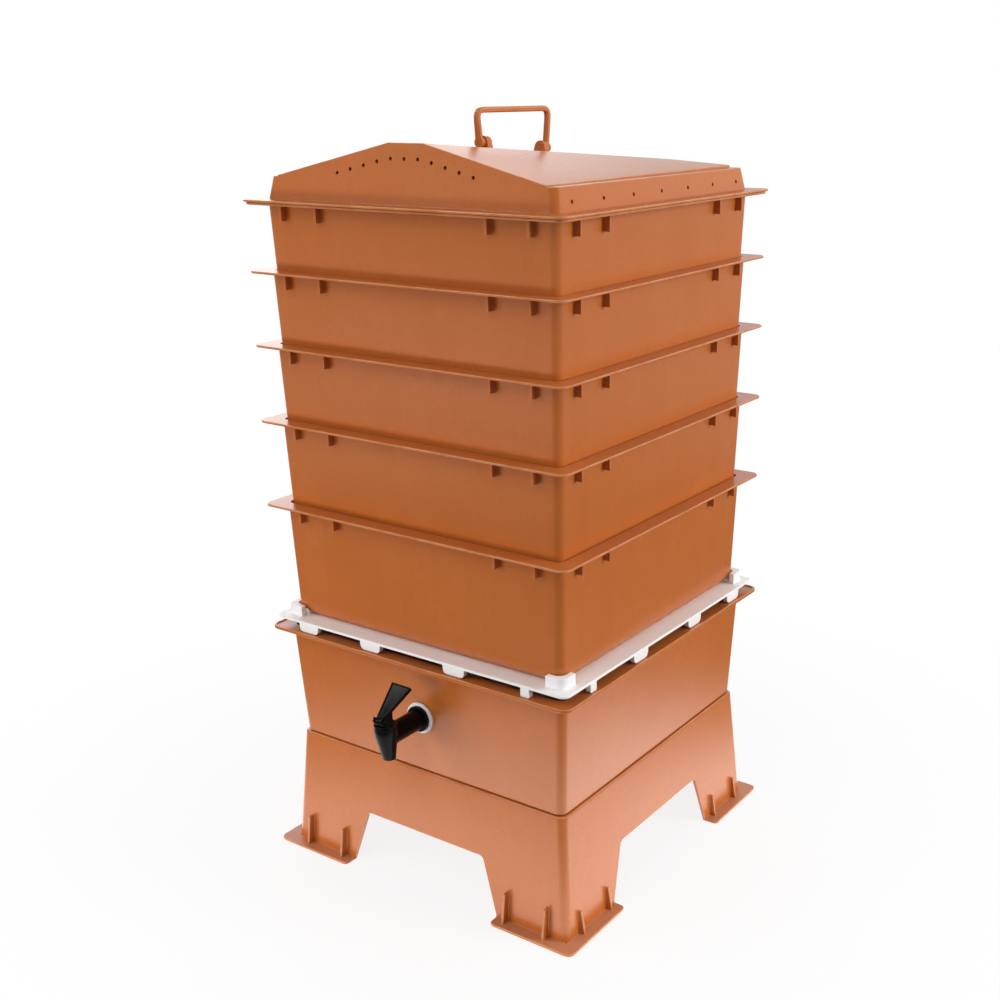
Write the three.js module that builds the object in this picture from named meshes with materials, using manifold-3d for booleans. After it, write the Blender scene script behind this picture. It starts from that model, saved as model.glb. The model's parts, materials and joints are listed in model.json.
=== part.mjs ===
// Stacking worm composter: a stand, a collector with a tap, a white spacer frame, five nesting
// perforated trays and a gabled lid with a folding handle.
// Millimetres, +Z up, feet on z = 0, the tap on the -Y side.

import * as THREE from 'three';
import { mergeGeometries, mergeVertices } from 'three/addons/utils/BufferGeometryUtils.js';
import Module from 'manifold-3d';

const wasm = await Module();
wasm.setup();

// Fits shared by every piece
const seatGap = 0.3;            // between two faces that rest on each other
const locateGap = 0.5;          // round a skirt that locates a piece in the one below
const overrun = 2;              // how far a cutter runs past the face it opens
const cornerSteps = 4;          // straight lengths in each rounded corner

// Tower: half widths are measured from the tower's axis to the outside of a wall
const towerHalf = 182.5;        // tray wall at its flange
const flangeThickness = 2.5;
const flangeCornerRadius = 10;

// Trays
const trayDepth = 126.4;        // foot to the underside of the flange
const trayTaper = 4.4;          // how far the wall leans in between flange and chamfer
const trayWall = 2;
const trayFloor = 2.5;
const trayCornerRadius = 9;
const trayFlangeReach = 16.5;
const trayChamferHeight = 10;
const trayChamferInset = 7;
const trayFinHeight = 16;
const trayFinReach = 7;
const trayFinThickness = 3;
const trayFinShares = [-0.85, -0.586, 0.586, 0.85];
const traySlotWidth = 5;
const traySlotLength = 70;
const traySlotColumns = 8;
const traySlotRows = 3;
const traySlotFieldShare = 0.75; // of the tray's half width
const trayStopSize = 30;        // legs of the triangular stacking stop in each corner

// Rise of each tray's foot above the foot of the tray below it, lowest pair first
const tray4Rise = 93;
const tray3Rise = 81.5;
const tray2Rise = 77.5;
const tray1Rise = 70;
const trayRises = [tray4Rise, tray3Rise, tray2Rise, tray1Rise];

// Spacer frame
const frameThickness = 3;
const frameEdgeInset = 2.5;     // from the collector's raised rim
const frameLedge = 13;          // how far it reaches in under the lowest tray
const frameCornerRadius = 8;
const frameTabHeight = 9.5;
const frameTabThickness = 6;
const frameTabWidth = 28;
const frameTabRound = 7;
const framePegWidth = 11;
const framePegRound = 2.5;
const frameTabShares = [-0.75, -0.29, 0.29, 0.75];
const guardHeight = 12;
const guardThickness = 6;
const guardGap = 1.9;           // from the tray's wall
const guardArm = 21.5;

// Collector
const collectorHeight = 127.2;  // shoulder on the stand to the underside of the flange
const collectorStep = 2;        // its mouth is this much wider than a tray's
const collectorTaper = 6.7;
const collectorWall = 2.5;
const collectorFlangeReach = 15.5;
const collectorRimWidth = 2.5;
const collectorRimHeight = 1.2;
const collectorSkirtDepth = 14;
const collectorShoulderHeight = 2.5;
const collectorGrooveHeight = 1.6; // shadow gap round its foot, above the stand's rim
const collectorGrooveDepth = 1.5;
const panThickness = 2.5;
const panFall = 8;              // from the back wall to the tap
const panClearance = 4.3;       // below the tap's inner boss

// Stand
const standHeight = 136;
const standWall = 4;
const standRimWall = 5.5;       // thicker at the top, where the collector rests
const standLip = 2.5;           // how far its top stands out past the collector
const standLipRound = 1.6;
const standFlare = 10;          // each wall leans out by this between top and floor
const archHeight = 64;
const archTopHalf = 80;
const archFootHalf = 101;
const archCornerRadius = 6;
const footReach = 14.2;
const footThickness = 3;
const footCornerRadius = 9;
const footEndRadius = 6;
const frontFinHeight = 33;
const frontFinTopReach = 7;
const frontFinFootReach = 9;
const sideFinHeight = 25;
const sideFinTopReach = 4;
const sideFinFootReach = 6.5;
const footFinThickness = 2.8;
const footFinShares = [0.15, 0.72]; // across a leg, from the arch to the corner

// Lid
const lidFlangeReach = 18.5;
const lidWall = 2.2;
const lidTaper = 4.5;
const eaveHeight = 25.5;        // above the underside of the lid's flange
const lidSkirtDepth = 8;
const lidSkirtWall = 2.4;
const frontRidgeRise = 35.2;    // ridge above the eave at the front gable
const backRidgeRise = 7.7;      // and at the back edge
const frontEdgeRise = 1.1;      // step up from the ledge to the roof panel
const backEdgeRise = 3;
const ridgeFlatHalf = 21.5;     // half the level width of the roof, front
const backFlatHalf = 90;        // and back
const ledgeWidth = 11;
const roofSections = 10;
const gableVentCount = 11;
const gableVentPitch = 17;
const gableVentDrop = 15;       // below the gable's sloping edge
const sideVentCount = 7;
const sideVentPitch = 52.2;
const sideVentHeight = 11.7;
const ventRadius = 2.1;
const ventSides = 8;

// Handle and the two lugs that carry it
const hingeHeight = 6.2;        // hinge axis above the roof
const lugSpread = 50;           // lug centre from the middle of the lid
const lugThickness = 8;
const lugRadius = 7;
const lugFoot = 2;              // each side of its foot stands out past its round head
const pegRadius = 2.8;
const eyeRadius = 5.4;
const barRise = 36.5;           // middle of the bar above the hinge axis
const barHalfLength = 62.5;
const handleThickness = 7;
const handleWidth = 6;
const handleChamfer = 1.6;
const handleBendRadius = 9;
const handleBendSteps = 5;

// Tap
const tapHeight = 64.7;         // axis of the barrel above the collector's shoulder
const tapRoundSides = 24;
const tapBossRadius = 16.9;
const tapBossProud = 0.5;
const outerWasherRadius = 17;
const washerThickness = 2.5;
const innerWasherRadius = 16;
const tapFlangeRadius = 14;
const tapFlangeThickness = 3.5;
const barrelRadius = 11;
const barrelLength = 47.6;      // flange to the axis of the outlet
const barrelBore = 6;
const tailRadius = 10.3;
const tailEnd = 5;              // past the nut
const nutFlats = 32;
const nutThickness = 7;
const outletRadius = 12.2;
const outletTop = 11.3;         // above the barrel's axis
const outletDrop = 25;          // nozzle's lip below the barrel's axis
const outletShoulder = 4;       // where the cone begins, above the barrel's axis
const nozzleRadius = 7;
const nozzleBore = 4;
const nozzleSetBack = 3;        // middle of the nozzle's lip behind the stem
const chamberRadius = 6.3;
const seatDrop = 10;            // valve seat below the barrel's axis
const bonnetThickness = 3.8;
const bonnetPlug = 3;
const bonnetPlugGap = 0.4;
const pivotOffset = 7.5;        // lever pivot in front of the stem
const pivotRise = 3.6;          // above the bonnet
const earThickness = 3;
const earRadius = 4;
const pinRadius = 1.45;
const hubRadius = 3.2;
const hubHalf = 6.2;
const prongLength = 8;
const prongGap = 5;             // between the prongs, round the stem
const prongDepth = 2.4;
const cheekLength = 12;         // webs that carry the blade, each side of the stem's head
const cheekThickness = 2;
const leverLean = 56;           // degrees back from upright
const leverLength = 44;
const leverRootHalf = 3.5;
const leverTipHalf = 12.5;
const leverRootStart = 1;
const leverUnderside = 1;
const leverThickness = 4.6;
const leverRim = 1.3;
const leverRecess = 1.2;
const stemRadius = 1.9;
const stemGap = 0.4;
const stemHeadRadius = 3.8;
const stemHeadThickness = 2.5;
const stemCollarRadius = 3.6;
const stemCollarThickness = 1;
const stemButtonRadius = 2.8;
const stemButtonThickness = 2.4;
const sealRadius = 5.3;
const sealThickness = 4;
const springRadius = 4.4;
const springWire = 0.55;
const springTurns = 6;
const springStepsPerTurn = 8;
const springSides = 5;

// Levels and widths that follow from the sizes above
const collectorBase = standHeight + seatGap;
const collectorMouthHalf = towerHalf + collectorStep;
const collectorFootHalf = collectorMouthHalf - collectorTaper;
const collectorFlangeHalf = collectorMouthHalf + collectorFlangeReach;
const standTopHalf = collectorFootHalf + standLip;
const standFloorHalf = standTopHalf + standFlare;
const frameBase = collectorBase + collectorHeight + flangeThickness + seatGap;
const frameHalf = collectorFlangeHalf - collectorRimWidth - frameEdgeInset;
const frameDepth = frameTabHeight + frameThickness;
const trayFootHalf = towerHalf - trayTaper;
const trayBottomHalf = trayFootHalf - trayChamferInset;
const trayTop = trayDepth + flangeThickness;
const footHalf = standFloorHalf + footReach;
const tapWallHalf = collectorHalfAt(tapHeight + tapBossRadius) + tapBossProud;
const tapInsideHalf = collectorHalfAt(tapHeight - tapBossRadius) - collectorWall - tapBossProud;
const tapFlangeFace = tapWallHalf + seatGap + washerThickness + seatGap;
const outletReach = tapFlangeFace + tapFlangeThickness + barrelLength;
const towerOffset = (outletReach + outletRadius - footHalf) / 2;

const terracotta = { color: 0xb5693c, roughness: 0.42, metalness: 0 };
const whitePlastic = { color: 0xf1eeec, roughness: 0.45, metalness: 0 };
const blackPlastic = { color: 0x101012, roughness: 0.22, metalness: 0 };
const greyRubber = { color: 0x5a5a58, roughness: 0.8, metalness: 0 };
const springSteel = { color: 0xa8adb2, roughness: 0.3, metalness: 1 };

// Solid modelling helpers

function solid(geometry) {
  const bare = geometry.clone();
  bare.deleteAttribute('normal');
  bare.deleteAttribute('uv');
  const merged = mergeVertices(bare, 1e-4);
  const mesh = new wasm.Mesh({
    numProp: 3,
    vertProperties: new Float32Array(merged.attributes.position.array),
    triVerts: new Uint32Array(merged.index.array),
  });
  return new wasm.Manifold(mesh);
}

function geometryOf(manifold) {
  const mesh = manifold.getMesh();
  const geometry = new THREE.BufferGeometry();
  geometry.setAttribute('position', new THREE.BufferAttribute(new Float32Array(mesh.vertProperties), 3));
  geometry.setIndex(new THREE.BufferAttribute(new Uint32Array(mesh.triVerts), 1));
  geometry.computeVertexNormals();
  return geometry;
}

function join(first, ...others) {
  return others.reduce((whole, other) => whole.add(other), first);
}

function cut(first, ...others) {
  return others.reduce((rest, other) => rest.subtract(other), first);
}

// Closed skin over a row of rings with the same number of points
function loft(rings) {
  const count = rings[0].length;
  const positions = rings.flat().flatMap((point) => [point.x, point.y, point.z]);
  const index = [];
  for (let row = 0; row + 1 < rings.length; row += 1) {
    for (let column = 0; column < count; column += 1) {
      const here = row * count + column;
      const next = row * count + ((column + 1) % count);
      index.push(here, next, next + count);
      index.push(here, next + count, here + count);
    }
  }
  const last = (rings.length - 1) * count;
  for (let column = 1; column + 1 < count; column += 1) {
    index.push(0, column + 1, column);
    index.push(last, last + column, last + column + 1);
  }
  const geometry = new THREE.BufferGeometry();
  geometry.setAttribute('position', new THREE.Float32BufferAttribute(positions, 3));
  geometry.setIndex(index);
  return geometry;
}

// Square ring with rounded corners; its level may fall along Y
function squareRing(half, radius, level, fall = 0) {
  const ring = [];
  for (let corner = 0; corner < 4; corner += 1) {
    const turn = corner * Math.PI / 2;
    const sideX = Math.SQRT2 * Math.cos(turn + Math.PI / 4);
    const sideY = Math.SQRT2 * Math.sin(turn + Math.PI / 4);
    for (let step = 0; step <= cornerSteps; step += 1) {
      const angle = turn + step * Math.PI / 2 / cornerSteps;
      const x = sideX * (half - radius) + radius * Math.cos(angle);
      const y = sideY * (half - radius) + radius * Math.sin(angle);
      ring.push(new THREE.Vector3(x, y, level + fall * (y + half) / (2 * half)));
    }
  }
  return ring;
}

function squareLoft(...levels) {
  return solid(loft(levels.map(([half, radius, level, fall]) => squareRing(half, radius, level, fall))));
}

function box(low, high) {
  const geometry = new THREE.BoxGeometry(high[0] - low[0], high[1] - low[1], high[2] - low[2]);
  geometry.translate((low[0] + high[0]) / 2, (low[1] + high[1]) / 2, (low[2] + high[2]) / 2);
  return geometry;
}

function rod(from, to, radius, sides, endRadius = radius) {
  const direction = new THREE.Vector3().subVectors(to, from);
  const length = direction.length();
  const geometry = new THREE.CylinderGeometry(endRadius, radius, length, sides);
  geometry.rotateX(Math.PI / 2);
  geometry.translate(0, 0, length / 2);
  const turn = new THREE.Quaternion().setFromUnitVectors(new THREE.Vector3(0, 0, 1), direction.normalize());
  geometry.applyQuaternion(turn);
  geometry.translate(from.x, from.y, from.z);
  return geometry;
}

// Solid of revolution about Z from closed [radius, height] points
function turned(points, sides = tapRoundSides) {
  const profile = points.map(([radius, height]) => new THREE.Vector2(radius, height));
  profile.push(profile[0].clone());
  const geometry = new THREE.LatheGeometry(profile, sides);
  geometry.rotateX(Math.PI / 2);
  return geometry;
}

// Outline drawn in [across, up] and extruded; across and up become the given axes
function slab(shape, thickness, across, up, centre) {
  const options = { depth: thickness, bevelEnabled: false, curveSegments: cornerSteps };
  const geometry = new THREE.ExtrudeGeometry(shape, options);
  geometry.translate(0, 0, -thickness / 2);
  const out = new THREE.Vector3().crossVectors(across, up);
  geometry.applyMatrix4(new THREE.Matrix4().makeBasis(across, up, out));
  geometry.translate(centre.x, centre.y, centre.z);
  return geometry;
}

// Four copies of a geometry, a quarter turn apart round the tower's axis
function fourSides(geometry) {
  const copies = [0, 1, 2, 3].map((quarter) => geometry.clone().rotateZ(quarter * Math.PI / 2));
  return mergeGeometries(copies);
}

const xAxis = new THREE.Vector3(1, 0, 0);
const yAxis = new THREE.Vector3(0, 1, 0);
const zAxis = new THREE.Vector3(0, 0, 1);

const composter = new THREE.Group();
const tower = new THREE.Group();
tower.position.y = towerOffset;
composter.add(tower);

function addPiece(parent, name, manifold, finish, level = 0) {
  const mesh = new THREE.Mesh(geometryOf(manifold), new THREE.MeshStandardMaterial(finish));
  mesh.name = name;
  mesh.position.z = level;
  parent.add(mesh);
  return mesh;
}

// Stand: four flared corner legs under a square rim, each on a flanged foot with fins

function standHalfAt(level) {
  return standTopHalf + standFlare * (standHeight - level) / standHeight;
}

function archCutter() {
  const shape = new THREE.Shape();
  const slope = Math.atan2(archFootHalf - archTopHalf, archHeight);
  const inset = archCornerRadius / Math.tan(Math.PI / 4 + slope / 2);
  const footX = archFootHalf + overrun * Math.tan(slope);
  const sideX = archTopHalf + inset * Math.sin(slope);
  const sideZ = archHeight - inset * Math.cos(slope);
  shape.moveTo(-footX, -overrun);
  shape.lineTo(footX, -overrun);
  shape.lineTo(sideX, sideZ);
  shape.quadraticCurveTo(archTopHalf, archHeight, archTopHalf - inset, archHeight);
  shape.lineTo(inset - archTopHalf, archHeight);
  shape.quadraticCurveTo(-archTopHalf, archHeight, -sideX, sideZ);
  const through = 2 * (footHalf + overrun);
  const centre = new THREE.Vector3();
  const alongY = solid(slab(shape, through, xAxis, zAxis, centre));
  const alongX = solid(slab(shape, through, yAxis, zAxis, centre));
  return join(alongY, alongX);
}

function footPlate() {
  const inner = standFloorHalf - standWall / 2;
  const shape = new THREE.Shape();
  shape.moveTo(inner, archFootHalf);
  shape.lineTo(footHalf - footEndRadius, archFootHalf);
  shape.quadraticCurveTo(footHalf, archFootHalf, footHalf, archFootHalf + footEndRadius);
  shape.lineTo(footHalf, footHalf - footCornerRadius);
  shape.quadraticCurveTo(footHalf, footHalf, footHalf - footCornerRadius, footHalf);
  shape.lineTo(archFootHalf + footEndRadius, footHalf);
  shape.quadraticCurveTo(archFootHalf, footHalf, archFootHalf, footHalf - footEndRadius);
  shape.lineTo(archFootHalf, inner);
  shape.lineTo(inner, inner);
  return slab(shape, footThickness, xAxis, yAxis, new THREE.Vector3(0, 0, footThickness / 2));
}

// Fins of the two feet on the +X side
function footFins(height, topReach, footFinReach) {
  const base = footThickness / 2;
  const top = footThickness + height;
  const shape = new THREE.Shape();
  shape.moveTo(standHalfAt(base) - standWall / 2, base);
  shape.lineTo(standHalfAt(base) + footFinReach, base);
  shape.lineTo(standHalfAt(top) + topReach, top);
  shape.lineTo(standHalfAt(top) - standWall / 2, top);
  const legWidth = standFloorHalf - archFootHalf;
  const places = footFinShares.map((share) => archFootHalf + share * legWidth);
  const fins = [...places, ...places.map((place) => -place)].map((place) => (
    slab(shape, footFinThickness, xAxis, zAxis, new THREE.Vector3(0, place, 0))
  ));
  return mergeGeometries(fins);
}

function standSolid() {
  const insideRound = trayCornerRadius - standWall / 2;
  const outside = squareLoft(
    [standFloorHalf, trayCornerRadius, 0],
    [standHalfAt(standHeight - standLipRound), trayCornerRadius, standHeight - standLipRound],
    [standTopHalf - standLipRound / 2, trayCornerRadius, standHeight],
  );
  const inside = squareLoft(
    [standHalfAt(-overrun) - standWall, insideRound, -overrun],
    [standHalfAt(archHeight) - standWall, insideRound, archHeight],
    [standTopHalf - standRimWall, insideRound, standHeight - collectorSkirtDepth],
    [standTopHalf - standRimWall, insideRound, standHeight + overrun],
  );
  const legs = cut(outside, inside, archCutter());
  const sideFins = footFins(sideFinHeight, sideFinTopReach, sideFinFootReach);
  const frontFins = footFins(frontFinHeight, frontFinTopReach, frontFinFootReach).rotateZ(-Math.PI / 2);
  const fins = [sideFins, frontFins].map((pair) => join(solid(pair), solid(pair.clone().rotateZ(Math.PI))));
  return join(legs, solid(fourSides(footPlate())), ...fins);
}

addPiece(tower, 'stand', standSolid(), terracotta);

// Collector: tapered tank with a sloping floor, standing on the stand's rim

function collectorHalfAt(level) {
  return collectorMouthHalf - collectorTaper * (collectorHeight - level) / collectorHeight;
}

function collectorSolid() {
  const top = collectorHeight + flangeThickness;
  const skirtHalf = standTopHalf - standRimWall - locateGap;
  const skirtInside = skirtHalf - collectorWall;
  const round = trayCornerRadius;
  const insideRound = round - collectorWall / 2;
  const panFront = tapHeight - tapBossRadius - panClearance;
  const outside = squareLoft(
    [collectorHalfAt(0) - collectorGrooveDepth, round, 0],
    [collectorHalfAt(0) - collectorGrooveDepth, round, collectorGrooveHeight],
    [collectorHalfAt(collectorGrooveHeight), round, collectorGrooveHeight],
    [collectorHalfAt(top), round, top],
  );
  const skirt = squareLoft(
    [skirtHalf, round, -collectorSkirtDepth],
    [skirtHalf, round, collectorShoulderHeight],
  );
  const flange = squareLoft(
    [collectorFlangeHalf, flangeCornerRadius, collectorHeight],
    [collectorFlangeHalf, flangeCornerRadius, top],
  );
  const rimInside = collectorFlangeHalf - collectorRimWidth;
  const rim = cut(
    squareLoft(
      [collectorFlangeHalf, flangeCornerRadius, collectorHeight],
      [collectorFlangeHalf, flangeCornerRadius, top + collectorRimHeight],
    ),
    squareLoft(
      [rimInside, flangeCornerRadius - collectorRimWidth, collectorHeight - overrun],
      [rimInside, flangeCornerRadius - collectorRimWidth, top + collectorRimHeight + overrun],
    ),
  );
  const tank = squareLoft(
    [collectorHalfAt(panFront) - collectorWall, insideRound, panFront, panFall],
    [collectorHalfAt(top + overrun) - collectorWall, insideRound, top + overrun],
  );
  const underPan = panFront - panThickness;
  const below = squareLoft(
    [skirtInside, insideRound, -collectorSkirtDepth - overrun],
    [skirtInside, insideRound, collectorShoulderHeight],
    [collectorHalfAt(2 * collectorShoulderHeight) - collectorWall, insideRound, 2 * collectorShoulderHeight],
    [collectorHalfAt(underPan) - collectorWall, insideRound, underPan, panFall],
  );
  const bossFront = new THREE.Vector3(0, -tapWallHalf, tapHeight);
  const bossBack = new THREE.Vector3(0, -tapInsideHalf, tapHeight);
  const boss = solid(rod(bossFront, bossBack, tapBossRadius, tapRoundSides));
  const holeFront = new THREE.Vector3(0, -tapWallHalf - overrun, tapHeight);
  const holeBack = new THREE.Vector3(0, -tapInsideHalf + overrun, tapHeight);
  const hole = solid(rod(holeFront, holeBack, tailRadius + seatGap, tapRoundSides));
  return cut(join(cut(join(outside, skirt, flange, rim), tank, below), boss), hole);
}

addPiece(tower, 'collector', collectorSolid(), terracotta, collectorBase);

// Spacer frame: an open white plate on tabs, with an angled guard at each corner of the lowest tray

function frameTab(width, round) {
  const shape = new THREE.Shape();
  const top = frameTabHeight + frameThickness / 2;
  shape.moveTo(-width / 2, top);
  shape.lineTo(-width / 2, round);
  shape.quadraticCurveTo(-width / 2, 0, round - width / 2, 0);
  shape.lineTo(width / 2 - round, 0);
  shape.quadraticCurveTo(width / 2, 0, width / 2, round);
  shape.lineTo(width / 2, top);
  return shape;
}

function frameSideTabs(pegFirst) {
  const peg = frameTab(framePegWidth, framePegRound);
  const tab = frameTab(frameTabWidth, frameTabRound);
  const shares = pegFirst ? frameTabShares : [...frameTabShares].reverse();
  const tabs = shares.map((share, place) => {
    const centre = new THREE.Vector3(frameHalf - frameTabThickness / 2, share * frameHalf, 0);
    return slab(place === 0 ? peg : tab, frameTabThickness, yAxis, zAxis, centre);
  });
  return mergeGeometries(tabs);
}

function frameSolid() {
  const inner = trayBottomHalf - frameLedge;
  const top = frameDepth;
  const plate = cut(
    squareLoft([frameHalf, frameCornerRadius, frameTabHeight], [frameHalf, frameCornerRadius, top]),
    squareLoft(
      [inner, frameCornerRadius, frameTabHeight - overrun],
      [inner, frameCornerRadius, top + overrun],
    ),
  );
  const guardInside = trayFootHalf + guardGap;
  const guardOutside = guardInside + guardThickness;
  const guardTop = top + guardHeight;
  const guardRing = cut(
    squareLoft(
      [guardOutside, frameCornerRadius, top - frameThickness / 2],
      [guardOutside, frameCornerRadius, guardTop],
    ),
    squareLoft(
      [guardInside, trayCornerRadius, frameTabHeight],
      [guardInside, trayCornerRadius, guardTop + overrun],
    ),
  );
  const guardFrom = guardOutside - guardArm;
  const cornerBlock = box([guardFrom, guardFrom, 0], [frameHalf, frameHalf, guardTop + overrun]);
  const guards = guardRing.intersect(solid(fourSides(cornerBlock)));
  const right = frameSideTabs(true);
  const front = frameSideTabs(false).rotateZ(-Math.PI / 2);
  const left = frameSideTabs(true).rotateZ(Math.PI);
  const back = frameSideTabs(false).rotateZ(Math.PI / 2);
  return join(plate, guards, solid(right), solid(front), solid(left), solid(back));
}

addPiece(tower, 'spacer_frame', frameSolid(), whitePlastic, frameBase);

// Trays: tapered, chamfered at the foot, with a slotted floor, a flange on fins and stacking stops

function trayHalfAt(level) {
  return towerHalf - trayTaper * (trayDepth - level) / (trayDepth - trayChamferHeight);
}

function trayFins() {
  const fins = trayFinShares.map((share) => box(
    [towerHalf - trayWall * 0.6, share * towerHalf - trayFinThickness / 2, trayDepth - trayFinHeight],
    [towerHalf + trayFinReach, share * towerHalf + trayFinThickness / 2, trayDepth + flangeThickness / 2],
  ));
  return solid(fourSides(mergeGeometries(fins)));
}

function traySlots() {
  const field = traySlotFieldShare * trayBottomHalf;
  const columnPitch = (2 * field - traySlotWidth) / (traySlotColumns - 1);
  const rowPitch = (2 * field - traySlotLength) / (traySlotRows - 1);
  const slots = [];
  for (let column = 0; column < traySlotColumns; column += 1) {
    for (let row = 0; row < traySlotRows; row += 1) {
      const x = (column - (traySlotColumns - 1) / 2) * columnPitch;
      const y = (row - (traySlotRows - 1) / 2) * rowPitch;
      slots.push(box(
        [x - traySlotWidth / 2, y - traySlotLength / 2, -overrun],
        [x + traySlotWidth / 2, y + traySlotLength / 2, trayFloor + overrun],
      ));
    }
  }
  return solid(mergeGeometries(slots));
}

function trayStops(height) {
  const ring = (level) => {
    const outer = trayHalfAt(level) - trayWall / 2;
    return [
      new THREE.Vector3(outer, outer - trayStopSize, level),
      new THREE.Vector3(outer, outer, level),
      new THREE.Vector3(outer - trayStopSize, outer, level),
    ];
  };
  return solid(fourSides(loft([ring(trayFloor / 2), ring(height)])));
}

function traySolid(stopHeight) {
  const round = trayCornerRadius;
  const insideRound = round - trayWall;
  const floorShare = trayFloor / trayChamferHeight;
  const floorHalf = trayBottomHalf + trayChamferInset * floorShare - trayWall;
  const outside = squareLoft(
    [trayBottomHalf, round, 0],
    [trayFootHalf, round, trayChamferHeight],
    [trayHalfAt(trayTop), round, trayTop],
  );
  const inside = squareLoft(
    [floorHalf, insideRound, trayFloor],
    [trayFootHalf - trayWall, insideRound, trayChamferHeight],
    [trayHalfAt(trayTop + overrun) - trayWall, insideRound, trayTop + overrun],
  );
  const flange = squareLoft(
    [towerHalf + trayFlangeReach, flangeCornerRadius, trayDepth],
    [towerHalf + trayFlangeReach, flangeCornerRadius, trayTop],
  );
  const shell = cut(join(outside, flange), inside, traySlots());
  const whole = join(shell, trayFins());
  if (stopHeight === 0) {
    return whole;
  }
  return join(whole, trayStops(stopHeight).intersect(outside));
}

let trayBase = frameBase + frameDepth + seatGap;
for (let number = 5; number >= 1; number -= 1) {
  const nextRise = number > 1 ? trayRises[5 - number] : 0;
  const stopHeight = number > 1 ? nextRise - seatGap : 0;
  addPiece(tower, `tray_${number}`, traySolid(stopHeight), terracotta, trayBase);
  trayBase += nextRise;
}

// Lid: a low box with a gabled roof that falls from the front ridge to the back edge

const lidBase = trayBase + trayTop + seatGap;
const roofFrontHalf = towerHalf - lidTaper;
const roofBackHalf = roofFrontHalf - ledgeWidth;
const roofLength = roofFrontHalf + roofBackHalf;
const ridgeFall = (frontRidgeRise - backRidgeRise) / roofLength;

function lidHalfAt(level) {
  return towerHalf - lidTaper * level / eaveHeight;
}

function ridgeLevelAt(y) {
  return eaveHeight + frontRidgeRise - ridgeFall * (y + roofFrontHalf);
}

// Cross-section of the roof panel at a share of the way back, sunk into the box by base
function roofSection(share, inset, base) {
  const y = THREE.MathUtils.lerp(inset - roofFrontHalf, roofBackHalf - inset, share);
  const edge = eaveHeight + THREE.MathUtils.lerp(frontEdgeRise, backEdgeRise, share) - inset;
  const ridge = ridgeLevelAt(y) - inset;
  const flat = THREE.MathUtils.lerp(ridgeFlatHalf, backFlatHalf, share) - inset / 2;
  const side = roofBackHalf - inset;
  const points = [[-side, edge], [-flat, ridge], [flat, ridge], [side, edge], [side, base], [-side, base]];
  const lean = share === 0 ? lidTaper / eaveHeight : 0;
  return points.map(([x, z]) => new THREE.Vector3(x, y + lean * (z - eaveHeight), z));
}

function roofPanel(inset, base) {
  const sections = [];
  for (let section = 0; section <= roofSections; section += 1) {
    sections.push(roofSection(section / roofSections, inset, base));
  }
  return solid(loft(sections));
}

function gableLevelAt(x) {
  const side = Math.max(Math.abs(x) - ridgeFlatHalf, 0) / (roofBackHalf - ridgeFlatHalf);
  return eaveHeight + THREE.MathUtils.lerp(frontRidgeRise, frontEdgeRise, side);
}

function lidVents() {
  const reach = 2 * lidTaper + lidWall + overrun;
  const vents = [];
  for (let place = 0; place < gableVentCount; place += 1) {
    const x = (place - (gableVentCount - 1) / 2) * gableVentPitch;
    const level = gableLevelAt(x) - gableVentDrop;
    const from = new THREE.Vector3(x, -towerHalf - overrun, level);
    const to = new THREE.Vector3(x, reach - towerHalf, level);
    vents.push(rod(from, to, ventRadius, ventSides));
  }
  for (const quarter of [0, 1, 2]) {
    for (let place = 0; place < sideVentCount; place += 1) {
      const across = (place - (sideVentCount - 1) / 2) * sideVentPitch;
      const from = new THREE.Vector3(towerHalf + overrun, across, sideVentHeight);
      const to = new THREE.Vector3(towerHalf - reach, across, sideVentHeight);
      vents.push(rod(from, to, ventRadius, ventSides).rotateZ(quarter * Math.PI / 2));
    }
  }
  return solid(mergeGeometries(vents));
}

const hingeSlope = Math.atan(ridgeFall);
const hingeDirection = new THREE.Vector3(0, Math.cos(hingeSlope), -Math.sin(hingeSlope));
const hingeUp = new THREE.Vector3(0, Math.sin(hingeSlope), Math.cos(hingeSlope));
const hingeLevel = ridgeLevelAt(0) + hingeHeight;

function onHinge(along) {
  return new THREE.Vector3(0, 0, hingeLevel).addScaledVector(hingeDirection, along);
}

function lidLug(side) {
  const drop = hingeHeight + lidWall / 2;
  const shape = new THREE.Shape();
  shape.moveTo(-lugRadius - lugFoot, -drop);
  shape.lineTo(lugRadius + lugFoot, -drop);
  shape.lineTo(lugRadius, 0);
  shape.absarc(0, 0, lugRadius, 0, Math.PI, false);
  const across = xAxis.clone();
  const lug = solid(slab(shape, lugThickness, across, hingeUp, onHinge(side * lugSpread)));
  const near = onHinge(side * lugSpread - lugThickness);
  const far = onHinge(side * lugSpread + lugThickness);
  return { lug, hole: solid(rod(near, far, pegRadius + seatGap, 2 * ventSides)) };
}

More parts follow.
